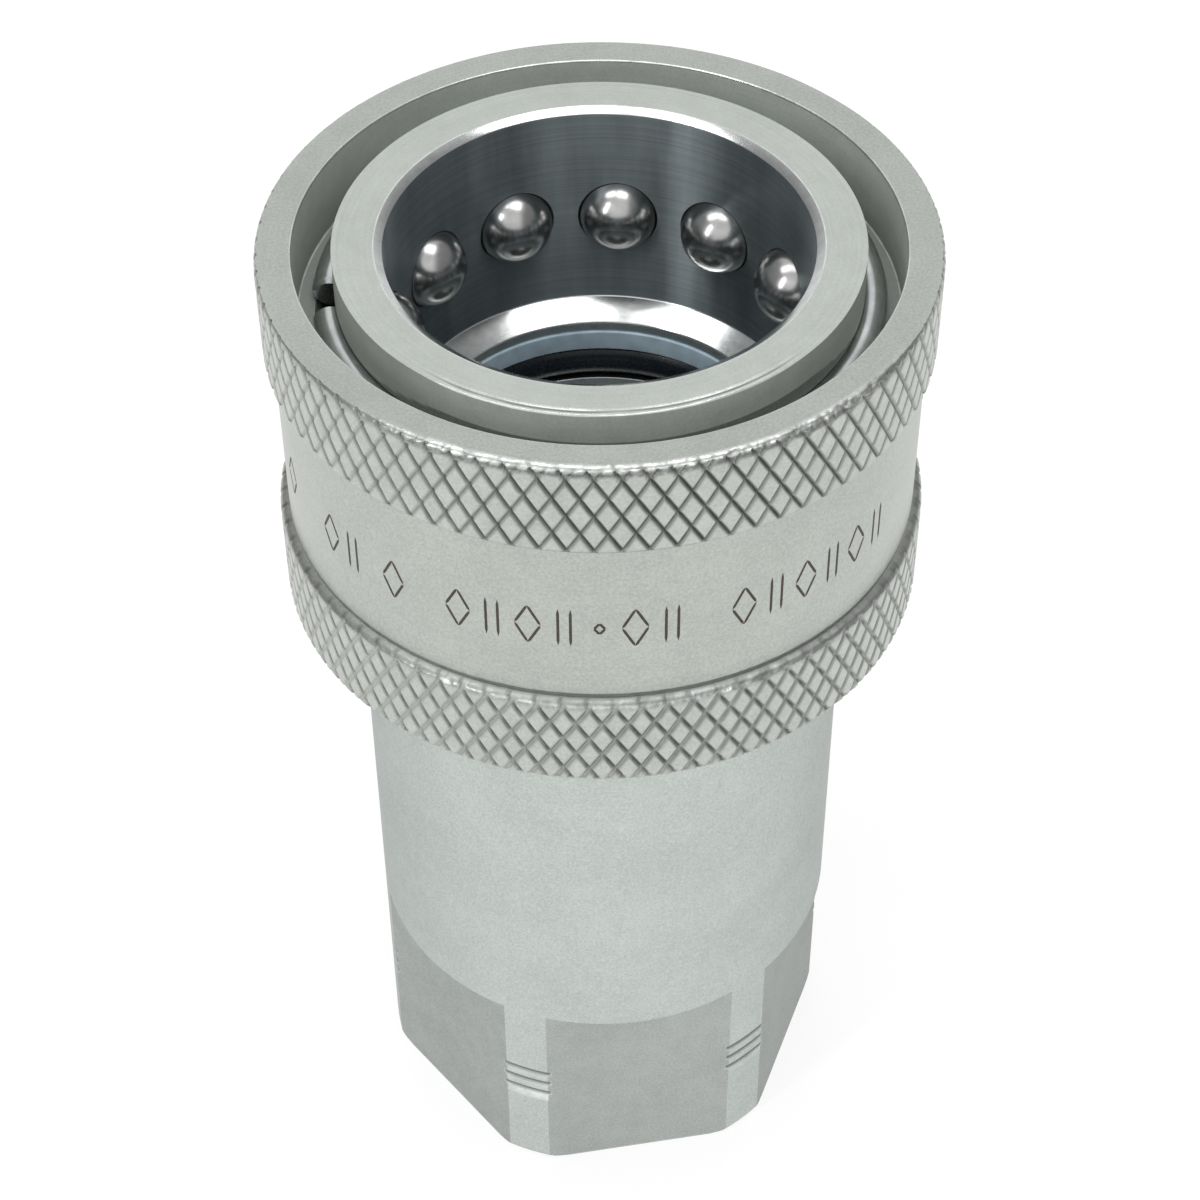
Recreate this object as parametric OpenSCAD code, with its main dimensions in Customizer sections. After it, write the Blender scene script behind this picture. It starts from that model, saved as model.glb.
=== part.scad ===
// Socket half of a hydraulic quick disconnect coupler, with a ball lock and a poppet valve.
// Millimetres. +Z is the coupler's axis: z = 0 is the hexagon's end face, where a pipe screws in,
// and the open nose, which takes the mating plug, is at z = total_length.
// One wrench flat faces -Y, and the first locking ball lies 15 degrees from +X.

/* [Overall] */
// Length from the hexagon's end face to the nose face
total_length = 68; // [66:0.5:78]
// Number of segments in a full circle
facets = 96; // [48:12:144]

/* [Hexagon end] */
// Width across the wrench flats
hex_across_flats = 27; // [26:0.5:28.5]
// Height of the wrench flats
hex_height = 15.95; // [13:0.05:17]
// Height of the lowest turned ring on the hexagon's corners
corner_ring_z = 7.6; // [6:0.1:9]
// Distance from one turned ring to the next
corner_ring_pitch = 1.05; // [0.7:0.05:1.2]

/* [Pipe port] */
// Minor diameter of the half-inch taper pipe thread
port_d = 18.26; // [17.8:0.02:18.6]
// Depth of the threaded port
port_depth = 17.3; // [15:0.1:18]
// Diameter of the port's countersunk mouth
port_mouth_d = 21.8; // [21:0.1:23]

/* [Plug socket] */
// Outer diameter of the nose that the balls sit in
nose_d = 29.52; // [29.4:0.02:29.7]
// Diameter of the bore that takes the plug's collar
plug_bore_d = 23.88; // [23.8:0.02:23.9]
// Width of the chamfer around the socket's mouth
mouth_chamfer = 0.56; // [0.3:0.02:0.8]
// Diameter of the bore that takes the plug's tip
tip_bore_d = 20.66; // [20.5:0.02:20.8]
// Depth of the tip's seal groove, measured outwards from the tip bore
seal_groove_depth = 2.17; // [2.1:0.01:2.3]

/* [Locking balls] */
// Number of balls around the nose
ball_count = 12; // [6:1:12]
// Diameter of one ball (three sixteenths of an inch)
ball_d = 4.762; // [4.7:0.002:4.762]
// Distance from the nose face to the balls' plane
ball_depth = 7.6; // [7.5:0.05:7.8]

/* [Locking sleeve] */
// Outer diameter over the two gripping bands
sleeve_d = 38; // [37.6:0.1:42]
// Diameter of the smooth band between them
band_d = 36.9; // [36:0.1:37.4]
// Length of the sleeve
sleeve_length = 23.73; // [23.6:0.01:24.5]
// Height of the gripping band at the nose
upper_grip = 5.7; // [5:0.1:7]
// Height of the gripping band at the rear
lower_grip = 5.98; // [5:0.02:7]
// Diameter of the wide mouth around the nose
sleeve_mouth_d = 33.88; // [33.7:0.02:34.2]
// How far the sleeve pulls back
sleeve_stroke = 6; // [5.6:0.1:6]
// How far the balls move outwards meanwhile
ball_travel = 1.86; // [1.8:0.02:1.86]

/* [Valve] */
// How far the mating plug pushes the poppet in
valve_stroke = 6; // [4:0.5:6.5]
// Diameter of the opening through the valve seat
seat_d = 15.2; // [14:0.2:15.6]

/* [Hidden] */
$fn = facets;
eps = 0.01;

// Gaps between pieces
slide_gap = 0.07; // sleeve to nose and sleeve to body, radial
screw_gap = 0.05; // between two threaded or tightly seated pieces, radial
seal_gap = 0.02; // around a seal in its groove
ball_gap = 0.03; // ball to ramp

// Radii of the main round surfaces
nose_r = nose_d / 2;
body_r = nose_r + slide_gap;
land_r = nose_r + slide_gap;
guide_r = body_r + slide_gap;
plug_r = plug_bore_d / 2;
tip_r = tip_bore_d / 2;
ball_r = ball_d / 2;
sleeve_r = sleeve_d / 2;
band_r = band_d / 2;
sleeve_mouth_r = sleeve_mouth_d / 2;
port_r = port_d / 2;
port_mouth_r = port_mouth_d / 2;
seat_r = seat_d / 2;

// Body: heights of the joint between its two halves and of what is inside
joint_z = total_length - 21.9;
skirt_z = joint_z - 9.9;
skirt_r = 13;
nut_r = skirt_r + screw_gap;
nut_floor_z = skirt_z - 0.2;
guide_z = 20;
passage_r = 8.8;
chamber_r = 11;
valve_chamber_r = 10.4;
waist_r = 14;
waist_top_z = joint_z + 5.9;

// Socket: heights of the steps inside the nose
mouth_chamfer_h = 0.3;
nose_edge = 0.1;
bore_floor_z = total_length - 13.7;
relief_z = total_length - 10.65;
relief_h = 0.6;
relief_r = plug_r + 0.18;
cone_floor_z = total_length - 14.55;
groove_top_z = total_length - 15.2;
groove_floor_z = total_length - 19;
groove_r = tip_r + seal_groove_depth;
seat_top_z = total_length - 22.8;
seat_lip_z = seat_top_z - 1;
seat_floor_z = seat_lip_z - 1.6;
seat_mouth_r = seat_r + 1.6;

// Balls: rest against the sleeve's land with their inner third in the socket
ball_z = total_length - ball_depth;
ball_rest_r = land_r - 0.02 - ball_r;
ball_hole_r = ball_r + 0.049;
ball_lip_r = ball_r - 0.021;
ball_lip_end_r = plug_r + 0.11;
ball_first_angle = 15;

// Sleeve: the ramp runs parallel to the balls' path, so they stay in touch with it all the way out
ball_ramp = ball_travel / sleeve_stroke;
ramp_axis_r = ball_rest_r + (ball_r + ball_gap) / cos(atan(ball_ramp));
land_floor_z = ball_z - 2.4;
land_top_z = ball_z + (land_r - ramp_axis_r) / ball_ramp;
ramp_top_z = total_length - 4.4;
ramp_top_r = ramp_axis_r + ball_ramp * (ramp_top_z - ball_z);
sleeve_floor_z = total_length - sleeve_length;
cavity_r = 17;
cavity_floor_z = joint_z - 0.1;
grip_step = sleeve_r - band_r;
grip_edge = 0.35;

// Round-wire snap ring that stops the sleeve
snap_wire_r = 1;
snap_r = 15.1;
snap_z = total_length - 3.8;
snap_gap_angle = 8;
snap_gap_middle = 174.5;

// Sleeve spring on its washer
washer_inner_r = waist_r + screw_gap;
washer_outer_r = cavity_r - 0.2;
washer_h = 1;
sleeve_wire_r = 0.6;
sleeve_coil_r = (nose_r + cavity_r) / 2;
sleeve_coil_turns = 4;
sleeve_coil_z = joint_z + washer_h;
sleeve_coil_h = land_floor_z - sleeve_coil_z;

// Tip seal: a plastic backup ring above a rubber ring
backup_h = 1.4;
tip_ring_r = (groove_top_z - groove_floor_z - backup_h) / 2 - seal_gap / 2;
tip_ring_centre_r = groove_r - seal_gap - tip_ring_r;
tip_ring_z = groove_floor_z + seal_gap / 2 + tip_ring_r;
backup_inner_r = tip_r - 0.13;

// Seal between the two halves of the body
body_groove_floor_z = skirt_z + 1.2;
body_groove_h = 2.8;
body_groove_r = skirt_r - 1.7;
body_ring_r = 0.85;
body_ring_z = body_groove_floor_z + seal_gap + body_ring_r;
body_backup_h = 0.95;
body_backup_z = body_groove_floor_z + body_groove_h - seal_gap - body_backup_h;

// Poppet: its cone lies parallel to the seat's
seat_gap = 0.2;
cone_sum = seat_mouth_r + seat_floor_z - seat_gap;
poppet_r = 9;
poppet_shoulder_z = cone_sum - poppet_r;
poppet_floor_z = poppet_shoulder_z - 2.2;
poppet_nose_r = 3.2;
poppet_nose_z = cone_sum - poppet_nose_r;
poppet_tip_z = total_length - 17;
poppet_tip_edge = 0.8;
stem_r = 2.5;
stem_floor_z = guide_z - 2 + valve_stroke;
poppet_ring_r = 0.97;
poppet_ring_centre_r = seat_r + 0.1;
poppet_ring_z = seat_mouth_r + seat_floor_z - poppet_ring_centre_r - (poppet_ring_r + seal_gap) * sqrt(2);

// Valve guide, its snap ring and its spring
guide_rim_r = chamber_r - screw_gap;
guide_rim_inner_r = 8.7;
guide_rim_h = 2.5;
guide_hub_r = 4.2;
guide_hub_h = 8;
guide_arm_w = 2.4;
guide_arms = 3;
guide_arm_angle = 40;
guide_ring_wire_r = 0.6;
guide_ring_r = chamber_r - 0.1;
guide_ring_z = guide_z + guide_rim_h + guide_ring_wire_r + 0.1;
guide_ring_gap_angle = 24;
valve_wire_r = 0.65;
valve_coil_r = 6;
valve_coil_turns = 6;
valve_coil_z = guide_z + guide_rim_h;
valve_coil_h = poppet_floor_z - valve_coil_z;

// Colours
steel = [0.75, 0.78, 0.76];
dull_steel = [0.67, 0.69, 0.67];
spring_steel = [0.55, 0.55, 0.54];
ball_steel = [0.85, 0.86, 0.87];
plastic = [0.41, 0.47, 0.50];
rubber = [0.06, 0.06, 0.06];

function ball_name(i) = str("ball_", i < 9 ? "0" : "", i + 1);

// A ring of round section, open by gap_angle around the angle gap_middle
module wire_ring(centre_r, z, wire_r, gap_angle = 0, gap_middle = 0) {
    translate([0, 0, z])
        rotate([0, 0, gap_middle + gap_angle / 2])
            rotate_extrude(angle = 360 - gap_angle)
                translate([centre_r, 0]) circle(r = wire_r);
}

// A ring of rectangular section
module flat_ring(inner_r, outer_r, z, h) {
    translate([0, 0, z])
        rotate_extrude()
            translate([inner_r, 0]) square([outer_r - inner_r, h]);
}

// Height of a coil's wire after u turns: closed end turns, and an even pitch between them
function coil_z(u, turns, h, wire_r) =
    let (closed = 0.9, step = 2.05 * wire_r, rise = h - 2 * wire_r - 2 * closed * step)
    wire_r + (u < closed ? u * step
            : u > turns - closed ? h - 2 * wire_r - (turns - u) * step
            : closed * step + (u - closed) * rise / (turns - 2 * closed));

// A compression spring of height h, as a tube of eight sides along a helix
module coil(centre_r, z, h, wire_r, turns) {
    sides = 8;
    steps = 28 * turns;
    function corner(k, s) =
        let (turn = 360 * k / 28, a = 360 * s / sides, r = centre_r + wire_r * cos(a))
        [r * cos(turn), r * sin(turn), coil_z(k / 28, turns, h, wire_r) + wire_r * sin(a)];
    translate([0, 0, z])
        polyhedron(
            points = [for (k = [0:steps], s = [0:sides - 1]) corner(k, s)],
            faces = concat(
                [[for (s = [0:sides - 1]) s]],
                [[for (s = [sides - 1:-1:0]) steps * sides + s]],
                [for (k = [0:steps - 1], s = [0:sides - 1])
                    let (here = k * sides, next = here + sides, up = (s + 1) % sides)
                    each [[here + s, next + s, next + up], [here + s, next + up, here + up]]]
            )
        );
}

// Rear half of the body: hexagon, pipe port and valve chamber, with a threaded socket for the front half
module hex_body() {
    ring_depth = 0.15;
    ring_w = 0.4;
    corner_chamfer = 0.7;
    port_taper = port_mouth_r - port_r;
    color(steel)
    difference() {
        union() {
            intersection() {
                rotate_extrude()
                    polygon([[0, 0], [body_r - corner_chamfer, 0], [body_r, corner_chamfer],
                             [body_r, hex_height + eps], [0, hex_height + eps]]);
                cylinder(h = hex_height + eps, r = hex_across_flats / 2 / cos(30), $fn = 6);
            }
            translate([0, 0, hex_height]) cylinder(h = joint_z - hex_height, r = body_r);
        }
        rotate_extrude()
            polygon([[0, -1], [port_mouth_r + 1, -1], [port_r, port_taper], [port_r, port_depth],
                     [passage_r, port_depth + 0.3], [passage_r, guide_z], [chamber_r, guide_z],
                     [chamber_r, nut_floor_z], [nut_r, nut_floor_z], [nut_r, joint_z + 1],
                     [0, joint_z + 1]]);
        for (i = [0:2])
            flat_ring(body_r - ring_depth, body_r + 1, corner_ring_z + i * corner_ring_pitch - ring_w / 2, ring_w);
        wire_ring(guide_ring_r, guide_ring_z, guide_ring_wire_r + 0.03);
    }
}

// Front half of the body: the nose with its ball holes, the plug socket, the seal groove and the valve seat
module front_body() {
    color(steel)
    difference() {
        rotate_extrude()
            polygon([[seat_r, seat_lip_z], [seat_r, seat_top_z], [tip_r, seat_top_z],
                     [tip_r, groove_floor_z], [groove_r, groove_floor_z], [groove_r, groove_top_z],
                     [tip_r, groove_top_z], [tip_r, cone_floor_z], [plug_r, bore_floor_z],
                     [plug_r, relief_z], [relief_r, relief_z], [relief_r, relief_z + relief_h],
                     [plug_r, relief_z + relief_h], [plug_r, total_length - mouth_chamfer_h],
                     [plug_r + mouth_chamfer, total_length], [nose_r - nose_edge, total_length],
                     [nose_r, total_length - nose_edge], [nose_r, waist_top_z], [waist_r, waist_top_z],
                     [waist_r, joint_z], [skirt_r, joint_z],
                     [skirt_r, body_groove_floor_z + body_groove_h],
                     [body_groove_r, body_groove_floor_z + body_groove_h],
                     [body_groove_r, body_groove_floor_z], [skirt_r, body_groove_floor_z],
                     [skirt_r, skirt_z], [valve_chamber_r, skirt_z],
                     [valve_chamber_r, seat_floor_z], [seat_mouth_r, seat_floor_z]]);
        wire_ring(snap_r, snap_z, snap_wire_r + 0.03);
        for (i = [0:ball_count - 1])
            translate([0, 0, ball_z])
                rotate([0, 0, ball_first_angle + i * 360 / ball_count])
                    rotate([0, 90, 0]) {
                        translate([0, 0, ball_lip_end_r]) cylinder(h = nose_r, r = ball_hole_r);
                        translate([0, 0, plug_r - 1]) cylinder(h = nose_r, r = ball_lip_r);
                    }
    }
}

// Sleeve that is pulled back to free the balls
module locking_sleeve() {
    upper_z = total_length - upper_grip;
    lower_z = sleeve_floor_z + lower_grip;
    color(steel)
    rotate_extrude()
        polygon([[guide_r, sleeve_floor_z], [sleeve_r - grip_edge, sleeve_floor_z],
                 [sleeve_r, sleeve_floor_z + grip_edge], [sleeve_r, lower_z],
                 [band_r, lower_z + grip_step], [band_r, upper_z - grip_step], [sleeve_r, upper_z],
                 [sleeve_r, total_length - grip_edge], [sleeve_r - grip_edge, total_length],
                 [sleeve_mouth_r, total_length], [sleeve_mouth_r, ramp_top_z], [ramp_top_r, ramp_top_z],
                 [land_r, land_top_z], [land_r, land_floor_z], [cavity_r, land_floor_z],
                 [cavity_r, cavity_floor_z], [guide_r, cavity_floor_z]]);
}

module snap_ring() {
    color(spring_steel) wire_ring(snap_r, snap_z, snap_wire_r, snap_gap_angle, snap_gap_middle);
}

module spring_washer() {
    color(dull_steel) flat_ring(washer_inner_r, washer_outer_r, joint_z, washer_h);
}

module sleeve_spring() {
    color(spring_steel) coil(sleeve_coil_r, sleeve_coil_z, sleeve_coil_h, sleeve_wire_r, sleeve_coil_turns);
}

module tip_backup_ring() {
    color(plastic)
        flat_ring(backup_inner_r, groove_r - seal_gap, groove_top_z - backup_h + seal_gap, backup_h - 2 * seal_gap);
}

module tip_seal() {
    color(rubber) wire_ring(tip_ring_centre_r, tip_ring_z, tip_ring_r);
}

module body_backup_ring() {
    color(plastic) flat_ring(body_groove_r + seal_gap, nut_r - seal_gap, body_backup_z, body_backup_h);
}

module body_seal() {
    color(rubber) wire_ring(body_groove_r + seal_gap + body_ring_r, body_ring_z, body_ring_r);
}

// Poppet: a disc with a stem behind it and a conical nose that the mating plug pushes
module poppet() {
    color(dull_steel)
    difference() {
        rotate_extrude()
            polygon([[0, stem_floor_z], [stem_r, stem_floor_z], [stem_r, poppet_floor_z],
                     [poppet_r, poppet_floor_z], [poppet_r, poppet_shoulder_z],
                     [poppet_nose_r, poppet_nose_z], [poppet_nose_r, poppet_tip_z - poppet_tip_edge],
                     [poppet_nose_r - poppet_tip_edge, poppet_tip_z], [0, poppet_tip_z]]);
        wire_ring(poppet_ring_centre_r, poppet_ring_z, poppet_ring_r + seal_gap);
    }
}

module poppet_seal() {
    color(rubber) wire_ring(poppet_ring_centre_r, poppet_ring_z, poppet_ring_r);
}

module valve_spring() {
    color(spring_steel) coil(valve_coil_r, valve_coil_z, valve_coil_h, valve_wire_r, valve_coil_turns);
}

// Spoked guide for the poppet's stem
module valve_guide() {
    color(dull_steel)
    translate([0, 0, guide_z])
        difference() {
            union() {
                flat_ring(guide_rim_inner_r, guide_rim_r, 0, guide_rim_h);
                cylinder(h = guide_hub_h, r = guide_hub_r);
                for (i = [0:guide_arms - 1])
                    rotate([0, 0, guide_arm_angle + i * 360 / guide_arms])
                        translate([0, -guide_arm_w / 2, 0])
                            cube([guide_rim_inner_r + 0.5, guide_arm_w, guide_rim_h]);
            }
            translate([0, 0, -1]) cylinder(h = guide_hub_h + 2, r = stem_r + screw_gap);
        }
}

module guide_ring() {
    color(spring_steel) wire_ring(guide_ring_r, guide_ring_z, guide_ring_wire_r, guide_ring_gap_angle);
}

// Ball i, counted from the first one
module ball(i) {
    color(ball_steel)
        rotate([0, 0, ball_first_angle + i * 360 / ball_count])
            translate([ball_rest_r, 0, ball_z]) sphere(r = ball_r);
}

hex_body();
front_body();
locking_sleeve();
snap_ring();
spring_washer();
sleeve_spring();
tip_backup_ring();
tip_seal();
body_backup_ring();
body_seal();
poppet();
poppet_seal();
valve_spring();
valve_guide();
guide_ring();
for (i = [0:ball_count - 1])
    ball(i);
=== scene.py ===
"""Looks of the quick disconnect coupler: turned and knurled steel, balls, seals and springs.

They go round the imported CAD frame. Lengths are millimetres, and piece() turns them into
metres. z counts up from the hexagon's end face and depth down from the nose's.
"""

import math

import bmesh
import bpy
import numpy as np
from mathutils import Matrix, Vector, noise


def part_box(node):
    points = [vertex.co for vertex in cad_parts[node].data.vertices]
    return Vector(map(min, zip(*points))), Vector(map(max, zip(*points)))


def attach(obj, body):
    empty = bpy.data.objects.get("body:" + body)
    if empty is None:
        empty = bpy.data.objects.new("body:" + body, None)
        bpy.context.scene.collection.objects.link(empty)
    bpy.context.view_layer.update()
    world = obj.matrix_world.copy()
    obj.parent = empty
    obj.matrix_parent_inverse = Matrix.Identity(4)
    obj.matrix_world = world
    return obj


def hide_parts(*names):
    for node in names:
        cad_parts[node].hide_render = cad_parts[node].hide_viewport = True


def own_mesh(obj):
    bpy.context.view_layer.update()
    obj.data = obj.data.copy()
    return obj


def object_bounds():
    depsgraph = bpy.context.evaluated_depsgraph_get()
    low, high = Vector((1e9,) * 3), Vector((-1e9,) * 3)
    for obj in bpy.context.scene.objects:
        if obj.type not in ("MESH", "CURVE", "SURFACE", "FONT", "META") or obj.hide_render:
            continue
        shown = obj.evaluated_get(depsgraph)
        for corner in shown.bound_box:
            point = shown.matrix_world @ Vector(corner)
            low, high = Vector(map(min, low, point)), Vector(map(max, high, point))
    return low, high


MM = 0.001
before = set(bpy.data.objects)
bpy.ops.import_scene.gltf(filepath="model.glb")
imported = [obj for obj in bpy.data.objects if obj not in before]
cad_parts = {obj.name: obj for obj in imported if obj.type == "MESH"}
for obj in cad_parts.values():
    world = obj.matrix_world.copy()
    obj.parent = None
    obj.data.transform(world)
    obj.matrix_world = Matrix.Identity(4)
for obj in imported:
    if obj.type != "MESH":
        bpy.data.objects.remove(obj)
cad_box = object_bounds()


# ---- dimensions


def low(node):
    """A CAD node's lowest corner, in millimetres."""
    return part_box(node)[0] / MM


def high(node):
    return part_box(node)[1] / MM


def centre(node):
    return (low(node) + high(node)) / 2


nose_z = high("front_body").z
joint_z = high("hex_body").z
sleeve_r = high("locking_sleeve").y
sleeve_floor_z = low("locking_sleeve").z

# hexagon end
half_flats = 13.5
hex_height = 15.95
body_r = 14.83
end_edge = 0.5
end_face_r = 12.6
corner_ring_heights = [7.6 + n * 1.05 for n in range(3)]
corner_ring_half = 0.24

# pipe port
port_r = 9.13
port_depth = 17.3
port_mouth_r = 10.9
thread_pitch = 25.4 / 14
thread_depth = 0.8 * thread_pitch
thread_taper = 1 / 32

# plug socket, from the nose inwards
nose_r = 14.76
turned_line_r = 14.15
plug_r = 11.94
tip_r = 10.33
skirt_r = 13.0
neck_r = 14.0
bore_floor_z = nose_z - 13.7
cone_floor_z = nose_z - 14.55
groove_top_z = nose_z - 15.2
groove_floor_z = nose_z - 19
groove_r = 12.5
seat_r = 7.6
seat_top_z = nose_z - 22.8

# balls
ball_count = 12
ball_z = centre("ball_01").z
ball_r = 2.381
ball_hole_r = 2.43
ball_lip_r = 2.36
ball_first_angle = 15

# sleeve
band_r = 18.45
upper_grip_z = nose_z - 5.7
lower_grip_z = sleeve_floor_z + 5.98
between_grips_z = nose_z - 12
grip_step = sleeve_r - band_r
grip_edge = 0.35
mouth_r = 16.94
spring_room_r = 17.0

# knurl: each grip's grooves that lean left going up, then those that lean right, as (depth, half
# width, painted shade at the floor, painted shade at the walls)
knurl_count = 82
knurl_cells = 6
knurl_h = 2.45
knurl_w = 2 * math.pi * sleeve_r / knurl_count
lower_knurl = (0.18, 0.165, 1.0, 0.85), (0.20, 0.20, 0.30, 0.70)
upper_knurl = (0.23, 0.155, 1.0, 0.66), (0.20, 0.15, 0.80, 0.55)

# snap ring, poppet seal and springs
snap_r = 15.1
snap_z = nose_z - 3.8
snap_wire_r = 1.0
poppet_seal_r = 7.7
poppet_seal_wire_r = 0.97
poppet_seal_z = high("poppet_seal").z - poppet_seal_wire_r

# the photograph's viewpoint, round the axis
view_azimuth = math.radians(-9.63)
view_right = Vector((math.cos(view_azimuth), math.sin(view_azimuth), 0))
view_front = Vector((math.sin(view_azimuth), -math.cos(view_azimuth), 0))


# ---- mesh tools

# A shape is (points, faces, wear_and_highlight, painted_shade): the first marks rubbed edges and
# their painted highlights, the second marks painted shade in grooves and recesses, from 0 to 1 at
# each point.


def polar(r, angle, z):
    return r * math.cos(angle), r * math.sin(angle), z


def plain(points, faces):
    return points, faces, [0.0] * len(points), [0.0] * len(points)


def joined(*shapes):
    """Several shapes as one."""
    points, faces, wear_and_highlight, painted_shade = [], [], [], []
    for shape in shapes:
        start = len(points)
        points += shape[0]
        faces += [tuple(start + v for v in face) for face in shape[1]]
        wear_and_highlight += shape[2]
        painted_shade += shape[3]
    return points, faces, wear_and_highlight, painted_shade


def grid_faces(rows, columns, start=0, wrap_rows=False, wrap_columns=True):
    """The quads of a grid of points, numbered along its rows from start."""
    faces = []
    for j in range(rows if wrap_rows else rows - 1):
        here, above = start + j * columns, start + (j + 1) % rows * columns
        for i in range(columns if wrap_columns else columns - 1):
            right = (i + 1) % columns
            faces.append((here + i, here + right, above + right, above + i))
    return faces


def placed(name, data):
    """A new object in the scene."""
    made = bpy.data.objects.new(name, data)
    bpy.context.scene.collection.objects.link(made)
    return made


def piece(name, shape, body, slot, replaced=(), material=None, sharp=30, weld=True):
    """A mesh object from a shape, smooth up to an edge angle, riding on a CAD body."""
    points, faces, wear_and_highlight, painted_shade = shape
    mesh = bpy.data.meshes.new(name)
    mesh.from_pydata([(x * MM, y * MM, z * MM) for x, y, z in points], [], faces)
    # each point's wear with painted highlight, and its painted shade
    for key, values in (("wear_and_highlight", wear_and_highlight), ("painted_shade", painted_shade)):
        mesh.attributes.new(key, "FLOAT", "POINT").data.foreach_set("value", values)
    if weld:
        shell = bmesh.new()
        shell.from_mesh(mesh)
        bmesh.ops.remove_doubles(shell, verts=shell.verts, dist=1e-6)
        bmesh.ops.dissolve_degenerate(shell, dist=1e-7, edges=shell.edges)
        bmesh.ops.recalc_face_normals(shell, faces=shell.faces)
        shell.to_mesh(mesh)
        shell.free()
    mesh.shade_smooth()
    mesh.set_sharp_from_angle(angle=math.radians(sharp))
    mesh.materials.append(materials[material or slot])
    made = placed(name, mesh)
    even = made.modifiers.new("even_faces", "WEIGHTED_NORMAL")
    even.keep_sharp = True
    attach(made, body)
    if replaced:
        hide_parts(*replaced)
    return made


def finish_faces(made, key, chosen):
    """Gives the faces that chosen(r, z, middle) picks another material."""
    made.data.materials.append(materials[key])
    index = len(made.data.materials) - 1
    for face in made.data.polygons:
        middle = face.center / MM
        if chosen(math.hypot(middle.x, middle.y), middle.z, middle):
            face.material_index = index


def rounded(corners, radius=0.08, closed=False):
    """A profile of (r, z, wear_and_highlight) points with rounded corners, the rounds carrying
    wear and a painted highlight.

    A corner is (r, z) or (r, z, its own radius).
    """
    steps = 5
    out = []
    n = len(corners)
    for i, corner in enumerate(corners):
        here = Vector(corner[:2])
        before = Vector(corners[i - 1][:2]) - here
        after = Vector(corners[(i + 1) % n][:2]) - here
        wanted = corner[2] if len(corner) > 2 else radius
        reach = min(wanted, before.length * 0.45, after.length * 0.45)
        if reach < 1e-4 or (not closed and i in (0, n - 1)):
            out.append((here.x, here.y, 0.0))
            continue
        start = here + before.normalized() * reach
        end = here + after.normalized() * reach
        for k in range(steps + 1):
            t = k / steps
            point = start * (1 - t) ** 2 + here * 2 * t * (1 - t) + end * t**2
            out.append((point.x, point.y, min(1.0, 5 * t * (1 - t))))
    return out


def turned(profile, columns=256, closed=False, angles=None):
    """A profile turned about +Z. Its points are (r, z), (r, z, wear and painted highlight) or (r,
    z, wear and painted highlight, painted shade).

    Each of these is one number, or an array with a number for each of the angles.
    """
    if angles is None:
        angles = np.arange(columns) * 2 * math.pi / columns
    columns = len(angles)
    rows = [[np.broadcast_to(v, columns) for v in (*point, 0.0, 0.0)[:4]] for point in profile]
    r, z, wear_and_highlight, painted_shade = np.array(rows, float).transpose(1, 0, 2)
    points = np.stack([r * np.cos(angles), r * np.sin(angles), z], 2).reshape(-1, 3).tolist()
    faces = grid_faces(len(rows), columns, wrap_rows=closed)
    return points, faces, wear_and_highlight.ravel().tolist(), painted_shade.ravel().tolist()


def tube(path, radius, sides, end_bevel=0.25):
    """A round wire along a path, with bevelled ends. The wire's section stays upright."""
    path = [Vector(p) for p in path]
    first = (path[1] - path[0]).normalized()
    last = (path[-1] - path[-2]).normalized()
    inset = end_bevel * radius
    line = [(path[0], 1 - end_bevel), (path[0] + first * inset, 1.0)]
    line += [(p, 1.0) for p in path[1:-1]]
    line += [(path[-1] - last * inset, 1.0), (path[-1], 1 - end_bevel)]
    points = []
    for k, (p, scale) in enumerate(line):
        ahead = line[min(k + 1, len(line) - 1)][0] - line[max(k - 1, 0)][0]
        outward = Vector((p.x, p.y, 0)).normalized()
        side = ahead.normalized().cross(outward).normalized()
        for s in range(sides):
            a = 2 * math.pi * s / sides
            spoke = outward * math.cos(a) + side * math.sin(a)
            points.append(tuple(p + spoke * radius * scale))
    faces = grid_faces(len(line), sides)
    faces.append(tuple(range(sides - 1, -1, -1)))
    faces.append(tuple((len(line) - 1) * sides + s for s in range(sides)))
    return plain(points, faces)


def smoothstep(t):
    t = np.clip(t, 0, 1)
    return t * t * (3 - 2 * t)


def facing(radians, middle, full, fade):
    """1 within full degrees of the angle middle, falling to 0 over the next fade degrees."""
    away = np.abs((np.degrees(radians) - middle + 180) % 360 - 180)
    return smoothstep((full + fade - away) / fade)


# ---- materials


class Tree:
    """The node tree of a material or world, with short calls for the nodes used here."""

    def __init__(self, owner):
        owner.use_nodes = True
        self.tree = owner.node_tree
        self.tree.nodes.clear()

    def fill(self, node, inputs):
        """Links a node's inputs, or sets those that are given a number or colour."""
        for key, source in inputs.items():
            if isinstance(source, (int, float, tuple)):
                node.inputs[key].default_value = source
            else:
                self.tree.links.new(source, node.inputs[key])

    def add(self, kind, inputs={}, **settings):
        node = self.tree.nodes.new("ShaderNode" + kind)
        for key, value in settings.items():
            setattr(node, key, value)
        self.fill(node, inputs)
        return node

    def vector(self, operation, inputs):
        node = self.add("VectorMath", inputs, operation=operation)
        return node.outputs["Value" if operation == "DOT_PRODUCT" else "Vector"]

    def math(self, operation, a, b=0.0, clamp=False):
        return self.add("Math", {0: a, 1: b}, operation=operation, use_clamp=clamp).outputs[0]

    def total(self, *terms):
        """The sum of (value, weight) terms."""
        products = [self.math("MULTIPLY", value, weight) for value, weight in terms]
        result = products[0]
        for product in products[1:]:
            result = self.math("ADD", result, product)
        return result

    def span(self, value, from_low, from_high, to_low=0.0, to_high=1.0, **settings):
        ends = {"From Min": from_low, "From Max": from_high, "To Min": to_low, "To Max": to_high}
        return self.add("MapRange", {"Value": value, **ends}, **settings).outputs["Result"]


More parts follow.
